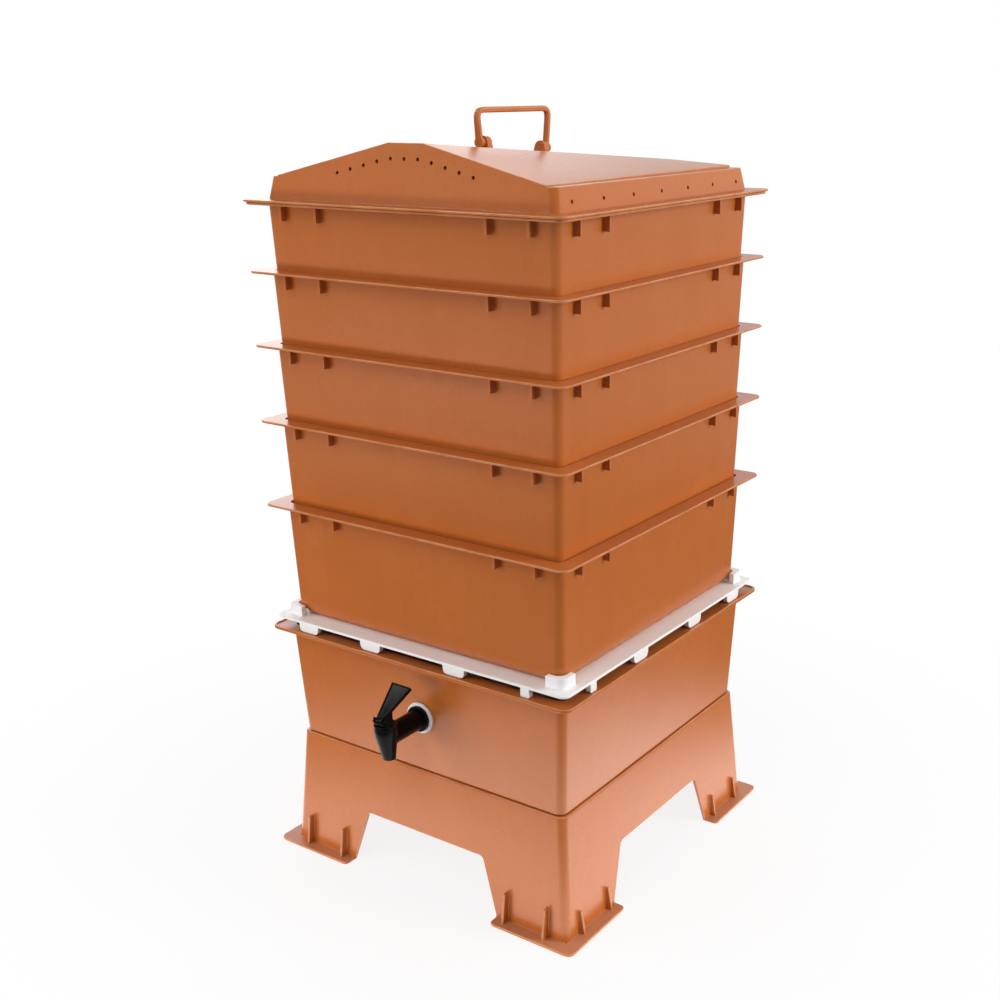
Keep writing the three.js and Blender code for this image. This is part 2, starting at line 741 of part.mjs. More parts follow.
function lidSolid() {
  const round = trayCornerRadius;
  const insideRound = round - lidWall;
  const skirtHalf = trayHalfAt(trayTop - lidSkirtDepth) - trayWall - locateGap;
  const skirtInside = skirtHalf - lidSkirtWall;
  const flange = squareLoft(
    [towerHalf + lidFlangeReach, flangeCornerRadius, 0],
    [towerHalf + lidFlangeReach, flangeCornerRadius, flangeThickness],
  );
  const skirt = squareLoft(
    [skirtHalf, insideRound, -lidSkirtDepth],
    [skirtHalf, insideRound, flangeThickness / 2],
  );
  const walls = squareLoft([lidHalfAt(0), round, 0], [lidHalfAt(eaveHeight), round, eaveHeight]);
  const ceiling = eaveHeight - lidWall;
  const hollow = squareLoft(
    [skirtInside, insideRound, -lidSkirtDepth - overrun],
    [skirtInside, insideRound, flangeThickness],
    [lidHalfAt(2 * flangeThickness) - lidWall, insideRound, 2 * flangeThickness],
    [lidHalfAt(ceiling) - lidWall, insideRound, ceiling],
  );
  const roof = roofPanel(0, ceiling);
  const attic = roofPanel(lidWall, ceiling - overrun);
  const lugs = [lidLug(-1), lidLug(1)];
  const shell = cut(join(flange, skirt, walls, roof), hollow, attic, lidVents());
  return cut(join(shell, ...lugs.map(({ lug }) => lug)), ...lugs.map(({ hole }) => hole));
}

addPiece(tower, 'lid', lidSolid(), terracotta, lidBase);

// Handle: a bail that folds down either way, its eyes and pegs on the sloping hinge axis

// Points along a bent line in the YZ plane, with the direction of the line at each
function bentLine(corners, radius, steps) {
  const stations = [{ point: corners[0], along: corners[1].clone().sub(corners[0]).normalize() }];
  for (let index = 1; index + 1 < corners.length; index += 1) {
    const into = corners[index].clone().sub(corners[index - 1]).normalize();
    const out = corners[index + 1].clone().sub(corners[index]).normalize();
    const turn = into.angleTo(out);
    const back = radius * Math.tan(turn / 2);
    for (let step = 0; step <= steps; step += 1) {
      const share = step / steps;
      const start = corners[index].clone().addScaledVector(into, -back);
      const end = corners[index].clone().addScaledVector(out, back);
      const curve = new THREE.QuadraticBezierCurve3(start, corners[index], end);
      stations.push({ point: curve.getPoint(share), along: curve.getTangent(share) });
    }
  }
  const last = corners.length - 1;
  const ending = corners[last].clone().sub(corners[last - 1]).normalize();
  stations.push({ point: corners[last], along: ending });
  return stations;
}

function handleRing({ point, along }) {
  const outward = new THREE.Vector3().crossVectors(along, xAxis);
  const halfX = handleThickness / 2;
  const halfN = handleWidth / 2;
  const cornerX = halfX - handleChamfer;
  const cornerN = halfN - handleChamfer;
  const section = [
    [halfX, -cornerN], [halfX, cornerN], [cornerX, halfN], [-cornerX, halfN],
    [-halfX, cornerN], [-halfX, -cornerN], [-cornerX, -halfN], [cornerX, -halfN],
  ];
  return section.map(([x, n]) => point.clone().addScaledVector(xAxis, x).addScaledVector(outward, n));
}

function handleSolid() {
  const eyeInner = lugSpread + lugThickness / 2 + locateGap;
  const eyeCentre = eyeInner + handleWidth / 2;
  const frontEye = hingeDirection.clone().multiplyScalar(-eyeCentre);
  const backEye = hingeDirection.clone().multiplyScalar(eyeCentre);
  const frontTop = new THREE.Vector3(0, -barHalfLength, barRise);
  const backTop = new THREE.Vector3(0, barHalfLength, barRise);
  const line = bentLine([frontEye, frontTop, backTop, backEye], handleBendRadius, handleBendSteps);
  const bail = solid(loft(line.map(handleRing)));
  const sides = 2 * ventSides;
  const parts = [-1, 1].map((side) => {
    const inner = hingeDirection.clone().multiplyScalar(side * eyeInner);
    const outer = hingeDirection.clone().multiplyScalar(side * (eyeInner + handleWidth));
    const pegEnd = hingeDirection.clone().multiplyScalar(side * (lugSpread - lugThickness / 2));
    const eye = solid(rod(inner, outer, eyeRadius, sides));
    const pegRoot = inner.clone().lerp(outer, 0.5);
    return join(eye, solid(rod(pegRoot, pegEnd, pegRadius, sides)));
  });
  return join(bail, ...parts);
}

const handle = addPiece(tower, 'handle', handleSolid(), terracotta);
handle.position.z = lidBase + hingeLevel;

// Tap: barrel through the collector's front wall, outlet with a sprung valve and a tilting lever

const tap = new THREE.Group();
tap.position.set(0, -outletReach, collectorBase + tapHeight);
tower.add(tap);

const seatLevel = -seatDrop;
const sealBase = seatLevel + seatGap;
const collarBase = sealBase + sealThickness + seatGap;
const bonnetBase = outletTop + seatGap;
const bonnetTop = bonnetBase + bonnetThickness;
const pivotLevel = bonnetTop + pivotRise;
const flangeFront = outletReach - tapFlangeFace - tapFlangeThickness;
const flangeBack = outletReach - tapFlangeFace;
const wallFront = outletReach - tapWallHalf;
const wallBack = outletReach - tapInsideHalf;
const nutFront = wallBack + seatGap + washerThickness + seatGap;
const tailBack = nutFront + nutThickness + tailEnd;

function alongBarrel(from, to, radius, sides = tapRoundSides) {
  return solid(rod(new THREE.Vector3(0, from, 0), new THREE.Vector3(0, to, 0), radius, sides));
}

function roundRing(radius, centreY, level) {
  const ring = [];
  for (let side = 0; side < tapRoundSides; side += 1) {
    const angle = side * 2 * Math.PI / tapRoundSides;
    ring.push(new THREE.Vector3(radius * Math.cos(angle), centreY + radius * Math.sin(angle), level));
  }
  return ring;
}

function tapBodySolid() {
  const outlet = solid(loft([
    roundRing(nozzleRadius, nozzleSetBack, -outletDrop),
    roundRing(outletRadius, 0, outletShoulder),
    roundRing(outletRadius, 0, outletTop),
  ]));
  const nozzle = solid(loft([
    roundRing(nozzleBore, nozzleSetBack, -outletDrop - overrun),
    roundRing(nozzleBore, 0, seatLevel + seatGap),
  ]));
  const chamber = solid(loft([
    roundRing(chamberRadius, 0, seatLevel),
    roundRing(chamberRadius, 0, outletTop + overrun),
  ]));
  const barrel = alongBarrel(0, flangeFront + tapFlangeThickness / 2, barrelRadius);
  const flange = alongBarrel(flangeFront, flangeBack, tapFlangeRadius);
  const tail = alongBarrel(flangeFront, tailBack, tailRadius);
  const bore = alongBarrel(0, tailBack + overrun, barrelBore);
  return cut(join(outlet, barrel, flange, tail), nozzle, chamber, bore);
}

function ringPlate(outer, inner, from, thickness, sides = tapRoundSides) {
  return cut(
    alongBarrel(from, from + thickness, outer, sides),
    alongBarrel(from - overrun, from + thickness + overrun, inner),
  );
}

function nutSolid() {
  const cornerRadius = nutFlats / 2 / Math.cos(Math.PI / 6);
  return ringPlate(cornerRadius, tailRadius + seatGap, nutFront, nutThickness, 6);
}

function bonnetSolid() {
  const plugRadius = chamberRadius - bonnetPlugGap;
  const cap = solid(turned([
    [0, bonnetBase - bonnetPlug], [plugRadius, bonnetBase - bonnetPlug], [plugRadius, bonnetBase],
    [outletRadius, bonnetBase], [outletRadius, bonnetTop - bonnetThickness / 4],
    [outletRadius - bonnetThickness / 4, bonnetTop], [0, bonnetTop],
  ]));
  const earInside = hubHalf + seatGap;
  const shape = new THREE.Shape();
  const foot = bonnetTop - bonnetThickness / 2;
  shape.moveTo(-earRadius, foot);
  shape.lineTo(earRadius, foot);
  shape.lineTo(earRadius, pivotLevel);
  shape.absarc(0, pivotLevel, earRadius, 0, Math.PI, false);
  const ears = [-1, 1].map((side) => {
    const x = side * (earInside + earThickness / 2);
    return solid(slab(shape, earThickness, yAxis, zAxis, new THREE.Vector3(x, -pivotOffset, 0)));
  });
  const reach = earInside + earThickness + overrun;
  const pinHole = solid(rod(
    new THREE.Vector3(-reach, -pivotOffset, pivotLevel),
    new THREE.Vector3(reach, -pivotOffset, pivotLevel),
    pinRadius + seatGap,
    tapRoundSides / 2,
  ));
  const stemHole = solid(rod(
    new THREE.Vector3(0, 0, bonnetBase - bonnetPlug - overrun),
    new THREE.Vector3(0, 0, bonnetTop + overrun),
    stemRadius + stemGap,
    tapRoundSides / 2,
  ));
  const outline = solid(loft([
    roundRing(outletRadius, 0, bonnetBase - bonnetPlug),
    roundRing(outletRadius, 0, pivotLevel + earRadius + overrun),
  ]));
  return cut(join(cap, ...ears).intersect(outline), pinHole, stemHole);
}

function stemSolid() {
  const headBase = pivotLevel + seatGap;
  return solid(turned([
    [0, seatLevel - stemButtonThickness], [stemButtonRadius, seatLevel - stemButtonThickness],
    [stemButtonRadius, seatLevel], [stemRadius, seatLevel], [stemRadius, collarBase],
    [stemCollarRadius, collarBase], [stemCollarRadius, collarBase + stemCollarThickness],
    [stemRadius, collarBase + stemCollarThickness], [stemRadius, headBase], [stemHeadRadius, headBase],
    [stemHeadRadius, headBase + stemHeadThickness], [0, headBase + stemHeadThickness],
  ], tapRoundSides / 2));
}

function sealSolid() {
  const inner = stemRadius + seatGap;
  return solid(turned([
    [inner, sealBase], [sealRadius, sealBase], [sealRadius, sealBase + sealThickness / 2],
    [stemCollarRadius, sealBase + sealThickness], [inner, sealBase + sealThickness],
  ]));
}

class Helix extends THREE.Curve {
  constructor(radius, bottom, top, turns) {
    super();
    Object.assign(this, { radius, bottom, top, turns });
  }

  getPoint(share, target = new THREE.Vector3()) {
    const angle = share * this.turns * 2 * Math.PI;
    const level = THREE.MathUtils.lerp(this.bottom, this.top, share);
    return target.set(this.radius * Math.cos(angle), this.radius * Math.sin(angle), level);
  }
}

function springSolid() {
  const bottom = collarBase + stemCollarThickness + seatGap + springWire;
  const top = bonnetBase - bonnetPlug - seatGap - springWire;
  const section = new THREE.Shape();
  for (let side = 0; side < springSides; side += 1) {
    const angle = side * 2 * Math.PI / springSides;
    const move = side === 0 ? 'moveTo' : 'lineTo';
    section[move](springWire * Math.cos(angle), springWire * Math.sin(angle));
  }
  const path = new Helix(springRadius, bottom, top, springTurns);
  const steps = springTurns * springStepsPerTurn;
  return solid(new THREE.ExtrudeGeometry(section, { steps, extrudePath: path, bevelEnabled: false }));
}

// Lever: a dished wedge on a hub, with two prongs that lift the stem's head
function leverSolid() {
  const wedgeRing = (along, half, low, high) => [
    new THREE.Vector3(-half, along, low), new THREE.Vector3(-half, along, high),
    new THREE.Vector3(half, along, high), new THREE.Vector3(half, along, low),
  ];
  const high = leverUnderside + leverThickness;
  const wedge = loft([
    wedgeRing(-leverRootStart, leverRootHalf, leverUnderside, high),
    wedgeRing(leverLength, leverTipHalf, leverUnderside, high),
  ]);
  const growth = (leverTipHalf - leverRootHalf) / (leverLength + leverRootStart);
  const recessFrom = hubRadius + leverRim;
  const recessTo = leverLength - leverRim;
  const halfAt = (along) => leverRootHalf + growth * (along + leverRootStart) - leverRim;
  const recess = loft([
    wedgeRing(recessFrom, halfAt(recessFrom), high - leverRecess, high + overrun),
    wedgeRing(recessTo, halfAt(recessTo), high - leverRecess, high + overrun),
  ]);
  const tilt = THREE.MathUtils.degToRad(90 - leverLean);
  const blade = cut(solid(wedge.rotateX(tilt)), solid(recess.rotateX(tilt)));
  const hubEnd = new THREE.Vector3(hubHalf, 0, 0);
  const hub = solid(rod(hubEnd.clone().negate(), hubEnd, hubRadius, tapRoundSides / 2));
  const prongs = [-1, 1].map((side) => {
    const inner = side * prongGap / 2;
    const outer = side * (hubHalf - cheekThickness / 2);
    const low = [Math.min(inner, outer), 0, -prongDepth];
    return solid(box(low, [Math.max(inner, outer), prongLength, 0]));
  });
  const web = new THREE.Shape();
  const rise = (along) => along * Math.tan(tilt) + (leverUnderside + leverThickness / 2) / Math.cos(tilt);
  web.moveTo(0, -prongDepth);
  web.lineTo(cheekLength, -prongDepth);
  web.lineTo(cheekLength, rise(cheekLength));
  web.lineTo(0, rise(0));
  const cheeks = [-1, 1].map((side) => {
    const middle = new THREE.Vector3(side * (hubHalf - cheekThickness / 2), 0, 0);
    return solid(slab(web, cheekThickness, yAxis, zAxis, middle));
  });
  const holeEnd = new THREE.Vector3(hubHalf + overrun, 0, 0);
  const hole = solid(rod(holeEnd.clone().negate(), holeEnd, pinRadius + seatGap, tapRoundSides / 2));
  return cut(join(blade, hub, ...prongs, ...cheeks), hole);
}

function pinSolid() {
  const end = new THREE.Vector3(hubHalf + seatGap + earThickness, 0, 0);
  return solid(rod(end.clone().negate(), end, pinRadius, tapRoundSides / 2));
}

addPiece(tap, 'tap_body', tapBodySolid(), blackPlastic);
const outerWasherFrom = flangeBack + seatGap;
const outerWasher = ringPlate(outerWasherRadius, tailRadius + seatGap, outerWasherFrom, washerThickness);
addPiece(tap, 'tap_outer_washer', outerWasher, whitePlastic);
const innerWasher = ringPlate(innerWasherRadius, tailRadius + seatGap, wallBack + seatGap, washerThickness);
addPiece(tap, 'tap_inner_washer', innerWasher, whitePlastic);
addPiece(tap, 'tap_nut', nutSolid(), blackPlastic);
addPiece(tap, 'tap_bonnet', bonnetSolid(), blackPlastic);
addPiece(tap, 'tap_stem', stemSolid(), blackPlastic);
addPiece(tap, 'tap_seal', sealSolid(), greyRubber);
addPiece(tap, 'tap_spring', springSolid(), springSteel);
const lever = addPiece(tap, 'tap_lever', leverSolid(), blackPlastic);
lever.position.set(0, -pivotOffset, pivotLevel);
const leverPin = addPiece(tap, 'tap_lever_pin', pinSolid(), blackPlastic);
leverPin.position.set(0, -pivotOffset, pivotLevel);

export default composter;
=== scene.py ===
"""Stacking wormery: softened mouldings, finishes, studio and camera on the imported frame."""
import json
import math

import bmesh
import bpy
from mathutils import Matrix, Vector
from mathutils.bvhtree import BVHTree
from mathutils.geometry import delaunay_2d_cdt


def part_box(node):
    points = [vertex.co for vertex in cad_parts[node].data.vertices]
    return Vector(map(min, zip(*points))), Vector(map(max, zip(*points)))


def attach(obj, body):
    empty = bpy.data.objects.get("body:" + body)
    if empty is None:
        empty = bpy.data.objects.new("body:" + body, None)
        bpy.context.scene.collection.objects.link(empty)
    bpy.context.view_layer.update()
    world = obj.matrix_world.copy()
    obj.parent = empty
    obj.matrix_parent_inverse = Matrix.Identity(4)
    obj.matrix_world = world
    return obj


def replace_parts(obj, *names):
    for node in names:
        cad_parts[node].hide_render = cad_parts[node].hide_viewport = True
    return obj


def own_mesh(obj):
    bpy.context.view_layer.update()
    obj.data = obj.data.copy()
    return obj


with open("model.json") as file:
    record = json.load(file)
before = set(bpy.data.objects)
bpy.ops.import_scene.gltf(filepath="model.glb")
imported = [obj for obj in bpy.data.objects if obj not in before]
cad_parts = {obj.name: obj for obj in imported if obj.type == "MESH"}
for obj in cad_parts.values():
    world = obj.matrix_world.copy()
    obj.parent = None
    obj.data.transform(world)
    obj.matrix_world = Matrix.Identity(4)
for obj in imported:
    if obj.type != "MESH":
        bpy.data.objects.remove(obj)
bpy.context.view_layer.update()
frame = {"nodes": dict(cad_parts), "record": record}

scene = bpy.context.scene

MM = 0.001
UP = Vector((0, 0, 1))

# Camera, fitted to the edges in the photograph

CAMERA_PLACE = Vector((0.8637, -1.1343, 0.8372))
CAMERA_AZIMUTH = 34.08
CAMERA_ELEVATION = 15.41
CAMERA_ROLL = -0.35
CAMERA_LENS = 48.2
CAMERA_SENSOR = 36
CAMERA_SHIFT = (-0.08, -0.04)
CAMERA_CLIP = (0.05, 50)


def make_camera():
    data = bpy.data.cameras.new("studio_camera")
    data.sensor_fit = "HORIZONTAL"
    data.sensor_width = CAMERA_SENSOR
    data.lens = CAMERA_LENS
    data.shift_x, data.shift_y = CAMERA_SHIFT
    data.clip_start, data.clip_end = CAMERA_CLIP
    camera = bpy.data.objects.new("studio_camera", data)
    scene.collection.objects.link(camera)
    turn = math.radians(CAMERA_AZIMUTH)
    rise = math.radians(CAMERA_ELEVATION)
    back = Vector((math.sin(turn) * math.cos(rise), -math.cos(turn) * math.cos(rise), math.sin(rise)))
    right = (-back).cross(UP).normalized()
    up = right.cross(-back)
    roll = math.radians(CAMERA_ROLL)
    rolled_right = math.cos(roll) * right + math.sin(roll) * up
    rolled_up = -math.sin(roll) * right + math.cos(roll) * up
    facing = Matrix((rolled_right, rolled_up, back)).transposed().to_4x4()
    camera.matrix_world = Matrix.Translation(CAMERA_PLACE) @ facing
    scene.camera = camera


make_camera()

# Shader node helpers


def shader_group(name, inputs, outputs):
    tree = bpy.data.node_groups.new(name, "ShaderNodeTree")
    for label, kind, value in inputs:
        socket = tree.interface.new_socket(label, in_out="INPUT", socket_type=kind)
        socket.default_value = value
    for label, kind in outputs:
        tree.interface.new_socket(label, in_out="OUTPUT", socket_type=kind)
    return tree, tree.nodes.new("NodeGroupInput"), tree.nodes.new("NodeGroupOutput")


def noise(tree, coordinates, scale, detail=2.0, roughness=0.5):
    node = tree.nodes.new("ShaderNodeTexNoise")
    node.inputs["Detail"].default_value = detail
    node.inputs["Roughness"].default_value = roughness
    tree.links.new(coordinates, node.inputs["Vector"])
    if isinstance(scale, (int, float)):
        node.inputs["Scale"].default_value = scale
    else:
        tree.links.new(scale, node.inputs["Scale"])
    return node.outputs["Fac"]


def arithmetic(tree, operation, first, second=None, third=None, clamp=False):
    node = tree.nodes.new("ShaderNodeMath")
    node.operation = operation
    node.use_clamp = clamp
    for place, value in enumerate((first, second, third)):
        if value is None:
            continue
        if isinstance(value, (int, float)):
            node.inputs[place].default_value = value
        else:
            tree.links.new(value, node.inputs[place])
    return node.outputs[0]


def spread(tree, value, low, high, to_low=0.0, to_high=1.0):
    node = tree.nodes.new("ShaderNodeMapRange")
    node.interpolation_type = "SMOOTHSTEP"
    node.inputs["From Min"].default_value = low
    node.inputs["From Max"].default_value = high
    for label, bound in (("To Min", to_low), ("To Max", to_high)):
        if isinstance(bound, (int, float)):
            node.inputs[label].default_value = bound
        else:
            tree.links.new(bound, node.inputs[label])
    tree.links.new(value, node.inputs["Value"])
    return node.outputs["Result"]


def blend_colours(tree, share, first, second):
    node = tree.nodes.new("ShaderNodeMix")
    node.data_type = "RGBA"
    sockets = (node.inputs[0], node.inputs[6], node.inputs[7])
    for socket, value in zip(sockets, (share, first, second)):
        if isinstance(value, (int, float)):
            socket.default_value = value
        elif isinstance(value, tuple):
            socket.default_value = (*value, 1.0)
        else:
            tree.links.new(value, socket)
    return node.outputs[2]


# Effects that several finishes share

# pale colour of dust, which near the ground also paints the sheen on the tops of the feet
DUST_AND_SHEEN_COLOUR = (0.74, 0.6, 0.49)
DUST_AND_SHEEN_UPWARD = (0.55, 0.95)     # upward part of the normal, over which dust begins to settle and the painted sheen of the low tops begins
DUST_AND_SHEEN_GROUND = (0.006, 0.03)    # metres over the ground, over which the splashed dust ends, and with it the painted sheen that lightens the tops of the feet
FLOW_STRETCH = (1.0, 1.0, 0.06)
RUB_POLISH = 0.12              # how much smoother a worn edge is
LEAST_RUB_AND_HIGHLIGHT = 0.35               # share of the rubbing, and of the painted highlight on the ridges, that reaches the least handled stretches
PLASTIC_IOR = 1.49

# Parts of a noise's range that an effect is spread over
CLOUD_SPAN = (0.3, 0.7)
SPECKLE_SPAN = (0.35, 0.65)
RUB_AND_HIGHLIGHT_SPAN = (0.32, 0.62)
DUST_SPAN = (0.3, 0.7)
STREAK_SPAN = (0.38, 0.68)


def make_skin_group():
    """Texture of a moulding's skin: fine grain, clouds of tone, and slow waves in the wall."""
    tree, given, result = shader_group(
        "moulded skin",
        [("Grain Scale", "NodeSocketFloat", 1400.0), ("Cloud Scale", "NodeSocketFloat", 14.0),
         ("Wave Scale", "NodeSocketFloat", 7.0), ("Grain Depth", "NodeSocketFloat", 0.03),
         ("Wave Depth", "NodeSocketFloat", 0.3)],
        [("Cloud", "NodeSocketFloat"), ("Speckle", "NodeSocketFloat"), ("Height", "NodeSocketFloat")],
    )
    place = tree.nodes.new("ShaderNodeTexCoord").outputs["Object"]
    grain = noise(tree, place, given.outputs["Grain Scale"], detail=2.0, roughness=0.55)
    cloud = noise(tree, place, given.outputs["Cloud Scale"], detail=4.0, roughness=0.6)
    wave = noise(tree, place, given.outputs["Wave Scale"], detail=1.0, roughness=0.4)
    fine = arithmetic(tree, "MULTIPLY", grain, given.outputs["Grain Depth"])
    slow = arithmetic(tree, "MULTIPLY", wave, given.outputs["Wave Depth"])
    tree.links.new(spread(tree, cloud, *CLOUD_SPAN), result.inputs["Cloud"])
    tree.links.new(spread(tree, grain, *SPECKLE_SPAN), result.inputs["Speckle"])
    tree.links.new(arithmetic(tree, "ADD", fine, slow), result.inputs["Height"])
    return tree


def make_rub_and_highlight_group():
    """Mask of the rounded edges, broken up where they have been handled most; it paints wear and a
    highlight along them.
    """
    tree, given, result = shader_group(
        "rubbed edges",
        [("Amount", "NodeSocketFloat", 0.5), ("Patch Scale", "NodeSocketFloat", 30.0)],
        [("Mask", "NodeSocketFloat")],
    )
    edge = tree.nodes.new("ShaderNodeAttribute")
    edge.attribute_name = "rounded_edge"
    place = tree.nodes.new("ShaderNodeTexCoord").outputs["Object"]
    patch = noise(tree, place, given.outputs["Patch Scale"], detail=3.0, roughness=0.6)
    broken = spread(tree, patch, *RUB_AND_HIGHLIGHT_SPAN, LEAST_RUB_AND_HIGHLIGHT, 1.0)
    held = arithmetic(tree, "MULTIPLY", edge.outputs["Fac"], broken)
    mask = arithmetic(tree, "MULTIPLY", held, given.outputs["Amount"], clamp=True)
    tree.links.new(mask, result.inputs["Mask"])
    return tree


def make_dust_and_sheen_group():
    """Mask of the thin dust that settles on faces that look up, most of all near the ground, where it
    also paints a pale sheen on the tops of the feet.
    """
    tree, given, result = shader_group(
        "dust and painted sheen",
        [("Amount", "NodeSocketFloat", 0.1), ("Ground Amount", "NodeSocketFloat", 0.16),
         ("Patch Scale", "NodeSocketFloat", 12.0)],
        [("Mask", "NodeSocketFloat")],
    )
    facing = tree.nodes.new("ShaderNodeSeparateXYZ")
    tree.links.new(tree.nodes.new("ShaderNodeNewGeometry").outputs["Normal"], facing.inputs[0])
    up = spread(tree, facing.outputs["Z"], *DUST_AND_SHEEN_UPWARD)
    place = tree.nodes.new("ShaderNodeTexCoord").outputs["Object"]
    spots = noise(tree, place, given.outputs["Patch Scale"], detail=2.0, roughness=0.5)
    patch = spread(tree, spots, *DUST_SPAN)
    height = tree.nodes.new("ShaderNodeSeparateXYZ")
    tree.links.new(place, height.inputs[0])
    low = spread(tree, height.outputs["Z"], *DUST_AND_SHEEN_GROUND, 1.0, 0.0)
    ground = arithmetic(tree, "MULTIPLY", low, given.outputs["Ground Amount"])
    thin = arithmetic(tree, "MULTIPLY_ADD", patch, given.outputs["Amount"], ground)
    mask = arithmetic(tree, "MULTIPLY", thin, up, clamp=True)
    tree.links.new(mask, result.inputs["Mask"])
    return tree


def make_flow_group():
    """Faint upright streaks where the melt ran down the mould's walls."""
    tree, given, result = shader_group(
        "flow marks",
        [("Streak Scale", "NodeSocketFloat", 60.0)],
        [("Streak", "NodeSocketFloat")],
    )
    stretch = tree.nodes.new("ShaderNodeMapping")
    stretch.inputs["Scale"].default_value = FLOW_STRETCH
    tree.links.new(tree.nodes.new("ShaderNodeTexCoord").outputs["Object"], stretch.inputs["Vector"])
    along = stretch.outputs["Vector"]
    streak = noise(tree, along, given.outputs["Streak Scale"], detail=3.0, roughness=0.55)
    tree.links.new(spread(tree, streak, *STREAK_SPAN), result.inputs["Streak"])
    return tree


SKIN = make_skin_group()
RUB_AND_HIGHLIGHT = make_rub_and_highlight_group()
DUST_AND_SHEEN = make_dust_and_sheen_group()
FLOW = make_flow_group()


def place_group(tree, group, **values):
    node = tree.nodes.new("ShaderNodeGroup")
    node.node_tree = group
    for label, value in values.items():
        node.inputs[label.replace("_", " ")].default_value = value
    return node


def plastic(
    name, main, pale, worn_and_highlit, roughness, rough_spread, specular, skin, rub_and_highlight, dust, streak, bump,
):
    """Moulded plastic: clouded colour, flow marks, worn edges with a painted highlight, dust with a
    painted sheen low down, and a grained, wavy skin.
    """
    material = bpy.data.materials.new(name)
    material.use_nodes = True
    tree = material.node_tree
    surface = tree.nodes["Principled BSDF"]
    skin_node = place_group(tree, SKIN, **skin)
    rub_and_highlight_node = place_group(tree, RUB_AND_HIGHLIGHT, Amount=rub_and_highlight)
    dust_and_sheen_node = place_group(tree, DUST_AND_SHEEN, Amount=dust)
    flow_node = place_group(tree, FLOW)
    colour = blend_colours(tree, skin_node.outputs["Cloud"], main, pale)
    flowed = arithmetic(tree, "MULTIPLY", flow_node.outputs["Streak"], streak)
    colour = blend_colours(tree, flowed, colour, worn_and_highlit)
    # painted highlight: the lighter worn colour on the rounded ridges also stands for the light they
    # catch
    colour = blend_colours(tree, rub_and_highlight_node.outputs["Mask"], colour, worn_and_highlit)
    # painted sheen: near the ground the pale dust colour lightens the upward tops of the feet
    colour = blend_colours(tree, dust_and_sheen_node.outputs["Mask"], colour, DUST_AND_SHEEN_COLOUR)
    tree.links.new(colour, surface.inputs["Base Color"])
    bounds = (roughness - rough_spread, roughness + rough_spread)
    rough = spread(tree, skin_node.outputs["Cloud"], 0.0, 1.0, *bounds)
    grain = arithmetic(tree, "MULTIPLY_ADD", skin_node.outputs["Speckle"], rough_spread, rough)
    polished = arithmetic(tree, "MULTIPLY_ADD", rub_and_highlight_node.outputs["Mask"], -RUB_POLISH, grain)
    dusty = arithmetic(tree, "ADD", polished, dust_and_sheen_node.outputs["Mask"], clamp=True)
    tree.links.new(dusty, surface.inputs["Roughness"])
    relief = tree.nodes.new("ShaderNodeBump")
    relief.inputs["Strength"].default_value = 1.0
    relief.inputs["Distance"].default_value = bump
    tree.links.new(skin_node.outputs["Height"], relief.inputs["Height"])
    tree.links.new(relief.outputs["Normal"], surface.inputs["Normal"])
    surface.inputs["IOR"].default_value = PLASTIC_IOR
    surface.inputs["Specular IOR Level"].default_value = specular
    return material


TERRACOTTA = plastic(
    "terracotta_plastic",
    # the lighter edge colour is wear and a painted highlight
    main=(0.49, 0.13, 0.021), pale=(0.51, 0.138, 0.024), worn_and_highlit=(0.74, 0.36, 0.17),
    roughness=0.27, rough_spread=0.004, specular=0.6,
    skin={
        "Grain_Scale": 1500.0, "Cloud_Scale": 9.0, "Wave_Scale": 3.0,
        "Grain_Depth": 0.008, "Wave_Depth": 0.05,
    },
    rub_and_highlight=0.6, dust=0.02, streak=0.02, bump=0.0003,
)
WHITE = plastic(
    "white_plastic",
    main=(0.90, 0.89, 0.88), pale=(0.93, 0.925, 0.92), worn_and_highlit=(0.95, 0.945, 0.94),
    roughness=0.42, rough_spread=0.03, specular=0.5,
    skin={
        "Grain_Scale": 1800.0, "Cloud_Scale": 20.0, "Wave_Scale": 20.0,
        "Grain_Depth": 0.05, "Wave_Depth": 0.4,
    },
    rub_and_highlight=0.3, dust=0.06, streak=0.05, bump=0.0002,
)
BLACK = plastic(
    "black_plastic",
    main=(0.003, 0.003, 0.0035), pale=(0.005, 0.005, 0.006), worn_and_highlit=(0.03, 0.03, 0.032),
    roughness=0.09, rough_spread=0.01, specular=0.08,
    skin={
        "Grain_Scale": 2600.0, "Cloud_Scale": 90.0, "Wave_Scale": 120.0,
        "Grain_Depth": 0.03, "Wave_Depth": 0.2,
    },
    rub_and_highlight=0.4, dust=0.01, streak=0.02, bump=0.00008,
)
RUBBER = plastic(
    "grey_rubber",
    main=(0.09, 0.09, 0.088), pale=(0.12, 0.12, 0.117), worn_and_highlit=(0.2, 0.2, 0.19),
    roughness=0.72, rough_spread=0.05, specular=0.4,
    skin={
        "Grain_Scale": 3000.0, "Cloud_Scale": 150.0, "Wave_Scale": 120.0,
        "Grain_Depth": 0.3, "Wave_Depth": 0.2,
    },
    rub_and_highlight=0.3, dust=0.1, streak=0.0, bump=0.00012,
)


WIRE_DARK = (0.5, 0.51, 0.53)
WIRE_BRIGHT = (0.66, 0.67, 0.69)
WIRE_ROUGHNESS = (0.22, 0.34)
WIRE_RELIEF = 0.03 * MM


